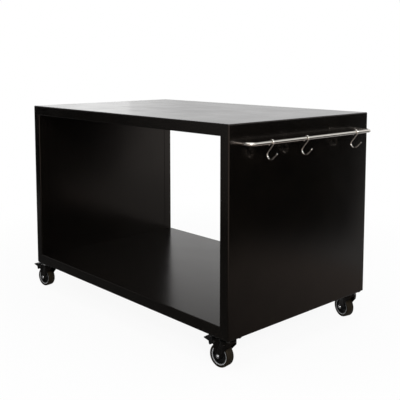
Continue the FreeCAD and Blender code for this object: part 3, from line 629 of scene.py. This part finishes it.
def axle_bolt(leg_out):
    """Bolt, sleeve and locknut on a wheel's axle, with the head on its -Y side."""
    out = leg_out / MM
    head_side = Matrix.Translation((0, -leg_out, 0)) @ Matrix.Rotation(math.radians(90), 4, "X")
    nut_side = Matrix.Translation((0, leg_out, 0)) @ Matrix.Rotation(math.radians(-90), 4, "X")
    mesh_builder = bmesh.new()
    hexagon_head(mesh_builder, AXLE_FLATS, AXLE_HEAD - CAP_RISE, head_side)
    slopes = [math.radians(CAP_SLOPE * (1 - k / CAP_RINGS)) for k in range(CAP_RINGS + 1)]
    cap = [(CAP_R * math.sin(a), AXLE_HEAD - CAP_R * (1 - math.cos(a))) for a in slopes]
    turned_part(mesh_builder, cap, head_side)
    shank = [(0, SEATED), (AXLE_D / 2, SEATED), (AXLE_D / 2, -2 * out), (0, -2 * out)]
    turned_part(mesh_builder, shank, head_side)
    sleeve_end = -out + LEG_THICK
    sleeve = [(SLEEVE_D / 2, sleeve_end), (SLEEVE_D / 2, -sleeve_end)]
    turned_part(mesh_builder, sleeve, Matrix.Rotation(math.radians(90), 4, "X"))
    hexagon_head(mesh_builder, AXLE_FLATS, AXLE_HEAD - COLLAR_RISE, nut_side)
    turned_part(mesh_builder, COLLAR, nut_side)
    screw_place = nut_side @ Matrix.Translation((0, 0, SCREW_START * MM))
    thread(mesh_builder, AXLE_D, AXLE_PITCH, AXLE_TURNS, screw_place)
    end = AXLE_HEAD + AXLE_TAIL
    tip = [(TIP_R, TIP_START), (TIP_R, end - TIP_CHAMFER), (TIP_END_R, end), (0, end)]
    turned_part(mesh_builder, tip, nut_side)
    return mesh_builder


for caster in CASTERS:
    node = "caster_" + caster + "_axle"
    place = wheel_place(caster)
    head_end = min(p.y for p in at_wheel(node, place))
    mesh_builder = axle_bolt(-head_end - AXLE_HEAD * MM)
    body = "swivel_" + caster
    piece = add_piece("axle_bolt_" + caster, mesh_builder, place, body, "axle_steel", node)
    print(piece.name, "head at", round(-head_end / MM, 1), "mm from the wheel's middle")

# %% [markdown]
# ## Bolts of the caster plates
#
# Four black bolts hold each caster plate, and their heads show under it. The frame has all of them
# in one piece, so its mesh is split into loose parts to find where each bolt stands. A fitter
# leaves every head at its own angle, so each is turned by a seeded random amount.

# %% Black bolts
PLATE_BOLT_D = 6.0
PLATE_BOLT_FLATS = 10.0
PLATE_BOLT_HEAD = 4.0
PLATE_BOLT_POINT = 0.6  # chamfer at the bolt's end


def loose_parts(node):
    """The lowest and highest corner of each separate part of a frame piece."""
    whole = bmesh.new()
    whole.from_mesh(nodes[node].data)
    bmesh.ops.remove_doubles(whole, verts=whole.verts, dist=NEARLY)
    left, corners = set(whole.verts), []
    while left:
        newest = {left.pop()}
        part = set(newest)
        while newest:
            newest = {e.other_vert(v) for v in newest for e in v.link_edges} - part
            part |= newest
        left -= part
        low = Vector([min(v.co[i] for v in part) for i in range(3)])
        high = Vector([max(v.co[i] for v in part) for i in range(3)])
        corners.append((low, high))
    whole.free()
    return corners


def plate_bolts(places):
    """Bolts, heads down, each in the box that a pair of corners gives."""
    mesh_builder = bmesh.new()
    chance = random.Random(4)
    radius, point = PLATE_BOLT_D / 2, PLATE_BOLT_POINT
    for low, high in sorted(places, key=lambda corners: tuple(corners[0])):
        middle = (low + high) / 2
        seat = low.z + PLATE_BOLT_HEAD * MM
        turn = Matrix.Rotation(chance.uniform(0, math.pi), 4, "Z")
        down = Matrix.Rotation(math.pi, 4, "X") @ turn
        place = Matrix.Translation((middle.x, middle.y, seat)) @ down
        length = (high.z - seat) / MM
        hexagon_head(mesh_builder, PLATE_BOLT_FLATS, PLATE_BOLT_HEAD, place)
        shank = [(0, SEATED), (radius, SEATED), (radius, point - length)]
        shank += [(radius - point, -length), (0, -length)]
        turned_part(mesh_builder, shank, place, steps=16)
    return mesh_builder


bolt_places = loose_parts("caster_bolts")
mesh_builder = plate_bolts(bolt_places)
still = Matrix.Identity(4)
slot = "black_oxide_steel"
piece = add_piece("plate_bolts", mesh_builder, still, "carcass", slot, "caster_bolts")
print(piece.name, "bolts:", len(bolt_places))

# %% [markdown]
# ## Ball bearings of the swivels
#
# Between a caster's plate and its fork runs a ring of steel balls in a pressed cage. Seen from low
# down, the balls glint in the gap. The balls are spheres copied round a circle, and the cage is a
# flat ring spun from a small rectangle.

# %% Balls and cage
BALLS = 16
CAGE_HALF_WIDTH = 1.3
CAGE_HALF_THICK = 0.5


def ball_race(radius, ball):
    """Balls of radius ball in a flat cage, on a circle of this radius, in millimetres."""
    low, high = radius - CAGE_HALF_WIDTH, radius + CAGE_HALF_WIDTH
    thick = CAGE_HALF_THICK
    mesh_builder = ring_section([(low, -thick), (high, -thick), (high, thick), (low, thick)])
    spin_round(mesh_builder, 48)
    upright = Matrix.Rotation(math.radians(90), 4, "X")
    bmesh.ops.transform(mesh_builder, matrix=upright, verts=mesh_builder.verts)
    for k in range(BALLS):
        turn = Matrix.Rotation(2 * math.pi * k / BALLS, 4, "Z")
        spot = turn @ Matrix.Translation((radius * MM, 0, 0))
        bmesh.ops.create_uvsphere(
            mesh_builder, u_segments=16, v_segments=10, radius=ball * MM, matrix=spot
        )
    return mesh_builder


for caster in CASTERS:
    node = "caster_" + caster + "_ball_ring"
    low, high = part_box(node)
    ball = (high.z - low.z) / 2
    radius = (high.x - low.x) / 2 - ball
    mesh_builder = ball_race(radius / MM, ball / MM)
    place = Matrix.Translation((low + high) / 2)
    body = "swivel_" + caster
    piece = add_piece("balls_" + caster, mesh_builder, place, body, "zinc_plated_steel", node)
    print(piece.name, "balls:", BALLS)

# %% [markdown]
# ## Stage
#
# The floor is white paper that catches a soft shadow, and the world behind it is white. Light Path
# lets the camera, mirrors and glass each see a level of their own, while the lamps light the table
# at a plain level. The levels for mirrors are painted reflections, and they matter most, because
# black panels show little else. The paper's painted reflection is dark in front of the table and
# brighter towards the back and far away. A painted bright patch at the front right gives the rail
# and the hooks their highlights, and beside the right panel the paper's painted reflection is
# slightly warm. The wall's painted reflection darkens above a slanting line and towards the front,
# and it is a little brighter at its left end, which paints the worktop's pale end.

# %% Floor and world
FLOOR_REACH = 30.0  # metres each way
FLOOR_DROP = 0.5  # millimetres below the wheels
NEAR_WHITE = 0.93  # the rest is real paper, which shows the shadow
# Painted shade in the wall's reflection: its dark line climbs this much towards the right.
PAINTED_SHADE_SLANT = 0.4  # climb of the wall's dark line towards the right
SOFT_LEVEL = 0.4  # the world's level when it lights dull surfaces


def fade(tree, value, start, end, low, high):
    """Eases from low to high while the value goes from start to end.

    The value is a place in metres or a part of a direction.
    """
    node = add_node(tree, "ShaderNodeMapRange", Value=value, From_Min=start, From_Max=end)
    node.interpolation_type = "SMOOTHSTEP"
    node.inputs["To Min"].default_value = low
    node.inputs["To Max"].default_value = high
    return node.outputs["Result"]


def plain_tree(name):
    """A new material's tree, its output socket and its surface position in metres."""
    material = bpy.data.materials.new(name)
    material.use_nodes = True
    tree = material.node_tree
    tree.nodes.remove(tree.nodes["Principled BSDF"])
    place = add_node(tree, "ShaderNodeTexCoord").outputs["Object"]
    return material, tree, tree.nodes["Material Output"].inputs["Surface"], place


def blend_shaders(tree, share, first, second, surface):
    """Fills the output socket with two shaders, the second one by its share."""
    blend = add_node(tree, "ShaderNodeMixShader")
    tree.links.new(share, blend.inputs[0])
    tree.links.new(first.outputs[0], blend.inputs[1])
    tree.links.new(second.outputs[0], blend.inputs[2])
    tree.links.new(blend.outputs[0], surface)


def painted_paper_reflection(tree, axes, distance):
    """The paper's level to mirror rays: a painted reflection, dark in front of the table, brighter towards the
    back and far away, with a painted bright patch at the front right.
    """
    # Painted reflection: these levels are set by place, not lit by the lamps.
    to_back = fade(tree, axes["Y"], -0.8, 1.6, 0.08, 0.45)
    at_right = fade(tree, axes["X"], 0.6, 1.6, 0.0, 0.75)
    in_front = fade(tree, axes["Y"], -0.9, -0.2, 1.0, 0.0)
    # Painted highlight: a bright patch at the front right, which the rail and the hooks mirror.
    patch = do_math(tree, "MULTIPLY", at_right, in_front)
    level = do_math(tree, "MAXIMUM", to_back, patch)
    level = do_math(tree, "ADD", level, fade(tree, distance, 1.8, 3.2, 0.0, 0.3))
    return do_math(tree, "ADD", level, fade(tree, distance, 3.2, 12.0, 0.0, 0.25))


def paper_floor():
    """White paper. Near the table the camera sees a share of the real, shadowed paper."""
    material, tree, surface, place = plain_tree("white_studio_paper")
    away = add_node(tree, "ShaderNodeVectorMath", Vector=place)
    away.operation = "LENGTH"
    distance = away.outputs["Value"]
    axes = add_node(tree, "ShaderNodeSeparateXYZ", Vector=place).outputs
    path = add_node(tree, "ShaderNodeLightPath").outputs
    seen = path["Is Camera Ray"]
    mirrored = do_math(tree, "MAXIMUM", path["Is Glossy Ray"], path["Is Transmission Ray"])
    seen_share = do_math(tree, "MULTIPLY", seen, fade(tree, distance, 0.9, 2.2, NEAR_WHITE, 1.0))
    # Mirror rays see the painted reflection level, and the camera sees white.
    level = do_math(tree, "MAXIMUM", seen, painted_paper_reflection(tree, axes, distance))
    # Painted reflection tint: beside the right panel, mirror rays see the paper slightly warm.
    beside = fade(tree, axes["X"], 0.5, 0.8, 0.0, 1.0)
    painted_warm_reflection = do_math(tree, "MULTIPLY", beside, fade(tree, axes["Y"], 0.6, 1.2, 1.0, 0.0))
    painted_warm_reflection = do_math(tree, "MULTIPLY", painted_warm_reflection, mirrored)
    glow = add_node(tree, "ShaderNodeEmission", Strength=level)
    tree.links.new(two_tone(tree, painted_warm_reflection, "ffffff", "fff0e8"), glow.inputs["Color"])
    paper = add_node(tree, "ShaderNodeBsdfDiffuse", Color=linear("fafafa"))
    glow_share = do_math(tree, "MAXIMUM", seen_share, mirrored)
    blend_shaders(tree, glow_share, paper, glow, surface)
    return material


def stage_sheet(name, place, material):
    """A flat sheet two metres square, stretched and set by the matrix."""
    mesh_builder = bmesh.new()
    bmesh.ops.create_grid(mesh_builder, x_segments=1, y_segments=1, size=1.0, matrix=place)
    sheet = new_object(name, mesh_builder, material)
    return sheet


def white_world():
    """A white world, with a painted reflection level of its own for mirror rays and one for lighting."""
    world = bpy.data.worlds.new("white_studio")
    world.use_nodes = True
    sky = world.node_tree
    background = sky.nodes["Background"].inputs
    rays = add_node(sky, "ShaderNodeLightPath").outputs
    direct = do_math(sky, "MAXIMUM", rays["Is Camera Ray"], rays["Is Transmission Ray"])
    upward = add_node(sky, "ShaderNodeTexCoord").outputs["Object"]
    parts = add_node(sky, "ShaderNodeSeparateXYZ", Vector=upward).outputs
    # Painted reflection: mirror rays see the wall darker above a slanting line and towards the front, and a little
    # brighter at its left end, which paints the worktop's pale end.
    climb = do_math(sky, "SUBTRACT", parts["Z"], do_math(sky, "MULTIPLY", parts["X"], PAINTED_SHADE_SLANT))
    painted_wall_reflection = fade(sky, climb, 0.55, 0.66, 1.0, 0.4)
    painted_wall_reflection = do_math(sky, "MULTIPLY", painted_wall_reflection, fade(sky, parts["Y"], -0.6, -0.2, 0.25, 1.0))
    painted_wall_reflection = do_math(sky, "MULTIPLY", painted_wall_reflection, fade(sky, parts["X"], -0.80, -0.745, 1.24, 1.0))
    mirrored = do_math(sky, "MULTIPLY", rays["Is Glossy Ray"], painted_wall_reflection)
    softened = do_math(sky, "MULTIPLY", rays["Is Diffuse Ray"], SOFT_LEVEL)
    level = do_math(sky, "MAXIMUM", do_math(sky, "MAXIMUM", direct, mirrored), softened)
    background["Color"].default_value = linear("ffffff")
    sky.links.new(level, background["Strength"])
    return world


floor_place = Matrix.Translation((0, 0, -FLOOR_DROP * MM)) @ Matrix.Scale(FLOOR_REACH, 4)
stage_sheet("studio_floor", floor_place, paper_floor())
bpy.context.scene.world = white_world()
print("floor reaches", FLOOR_REACH, "m each way")

# %% [markdown]
# ## Black flags that paint dark reflections
#
# A black table in an all-white studio turns grey, because it mirrors the walls. Photographers put
# black flags beside it, out of the picture. Here two sheets paint such dark reflections. Only mirror
# rays meet them, so they cast no shade, and all their edges fade, so that no hard line shows in the
# panels. Below the right sheet the right panel mirrors the paper, and so it fades from a pale foot
# upwards. That sheet's lower edge rises towards the back, and what it leaves clear there paints the
# left panel's pale patch.

# %% Flags that paint dark reflections, at the right and at the front
DARK_REFLECTION_HALF_HEIGHT = 0.5
FOOT_FADE = (-0.01, 0.26)  # metres above the foot line


def dark_reflection_cloth(name, along, starts, ends, steps, top):
    """Black cloth, seen only by mirror rays as a painted dark reflection, that fades out at both ends, above its
    top line and below its foot line.

    The starts and ends give where the fades along the axis begin and finish. Each step gives where
    along the axis the foot line starts and stops rising, and how far. All are in metres.
    """
    material, tree, surface, place = plain_tree(name)
    axes = add_node(tree, "ShaderNodeSeparateXYZ", Vector=place).outputs
    start_fade = fade(tree, axes[along], *starts, 0.0, 1.0)
    end_fade = do_math(tree, "MULTIPLY", start_fade, fade(tree, axes[along], *ends, 1.0, 0.0))
    foot_line = 0.0
    for start, stop, rise in steps:
        foot_line = do_math(tree, "ADD", foot_line, fade(tree, axes[along], start, stop, 0.0, rise))
    above_foot = do_math(tree, "SUBTRACT", axes["Z"], foot_line)
    foot_fade = fade(tree, above_foot, *FOOT_FADE, 0.0, 1.0)
    upright_fade = do_math(tree, "MULTIPLY", foot_fade, fade(tree, axes["Z"], *top, 1.0, 0.0))
    # Painted dark reflection: the black cloth is seen by mirror rays only.
    cloth = add_node(tree, "ShaderNodeBsdfDiffuse", Color=linear("000000"))
    clear = add_node(tree, "ShaderNodeBsdfTransparent", Color=linear("ffffff"))
    share = do_math(tree, "MULTIPLY", end_fade, upright_fade)
    blend_shaders(tree, share, clear, cloth, surface)
    return material


def dark_reflection_flag(name, middle, turn, half_length, cloth):
    """An upright sheet that only mirror rays meet, so that it paints a dark reflection."""
    stretch = Matrix.Diagonal((half_length, DARK_REFLECTION_HALF_HEIGHT, 1, 1))
    sheet = stage_sheet(name, Matrix.Translation(middle) @ turn @ stretch, cloth)
    sheet.visible_camera = False
    sheet.visible_diffuse = False
    sheet.visible_transmission = False
    sheet.visible_shadow = False


stand_up = Matrix.Rotation(math.radians(90), 4, "X")
face_right = Matrix.Rotation(math.radians(90), 4, "Z") @ stand_up
# Painted dark reflection: the foot line's rise towards the back paints the left panel's pale patch.
right_cloth = dark_reflection_cloth(
    "right_dark_reflection_cloth",
    "Y",
    starts=(-0.3, 0.1),
    ends=(2.2, 2.5),
    steps=[(0.3, 1.0, -0.09), (1.22, 1.65, 0.6)],
    top=(0.75, 0.95),
)
front_cloth = dark_reflection_cloth(
    "front_dark_reflection_cloth",
    "X",
    starts=(-3.8, -3.4),
    ends=(-1.8, 0.9),
    steps=[(-4.0, -3.9, -0.2)],
    top=(0.8, 1.0),
)
dark_reflection_flag("right_dark_reflection_flag", (1.25, 0.5, 0.5), face_right, 2.1, right_cloth)
dark_reflection_flag("front_dark_reflection_flag", (-1.5, -1.35, 0.5), stand_up, 2.3, front_cloth)
print("flags stand ready")

# %% [markdown]
# ## Lamps
#
# Three lamps light the table. The broad one overhead gives the gentle shadow on the floor. A
# smaller one at the front right gives the small bright spots on the rail, the hooks and the axle
# caps. The weak one behind the left end is there for its mirror image, which helps to give the
# worktop its pale end, and the camera doesn't see it.

# %% Lamps
def soft_lamp(name, spot, target, size, watts):
    """A square lamp at a spot, facing its target, with its size in metres."""
    lamp = bpy.data.lights.new(name, "AREA")
    lamp.shape = "SQUARE"
    lamp.size = size
    lamp.energy = watts
    holder = bpy.data.objects.new(name, lamp)
    bpy.context.scene.collection.objects.link(holder)
    holder.location = spot
    holder.rotation_euler = (Vector(target) - Vector(spot)).to_track_quat("-Z", "Y").to_euler()
    return holder


soft_lamp("overhead_lamp", (0.3, -0.2, 3.3), (0, 0, 0.5), size=2.4, watts=40)
soft_lamp("side_lamp", (3.4, -2.4, 2.4), (0, 0, 0.4), size=0.9, watts=90)
back_lamp = soft_lamp("back_lamp", (-3.24, 1.32, 1.15), (-0.3, 0, 0.75), size=1.3, watts=1.6)
back_lamp.visible_camera = False
print("lamps ready")

# %% [markdown]
# ## Camera
#
# The camera stands in front of the table's right corner, at about chest height, with a lens of
# medium length. The film is shifted down a little, as a view camera's is, so that the table's
# upright edges stay nearly upright in the picture.

# %% Camera
EYE = (2.089, -1.852, 0.999)  # metres
HEADING = 47.55  # degrees to the left of straight to the back
TILT = 5.92  # degrees, downwards
LENS = 61.92  # millimetres, like the film's width
FILM_WIDTH = 36.0
DROP = -0.17  # shift of the film, in film widths

view = bpy.data.cameras.new("camera")
view.lens = LENS
view.sensor_width = FILM_WIDTH
view.shift_y = DROP
camera = bpy.data.objects.new("camera", view)
bpy.context.scene.collection.objects.link(camera)
camera.location = EYE
camera.rotation_euler = (math.radians(90 - TILT), 0, math.radians(HEADING))
bpy.context.scene.camera = camera
bpy.context.scene.view_settings.view_transform = "Standard"
print("camera at", EYE)
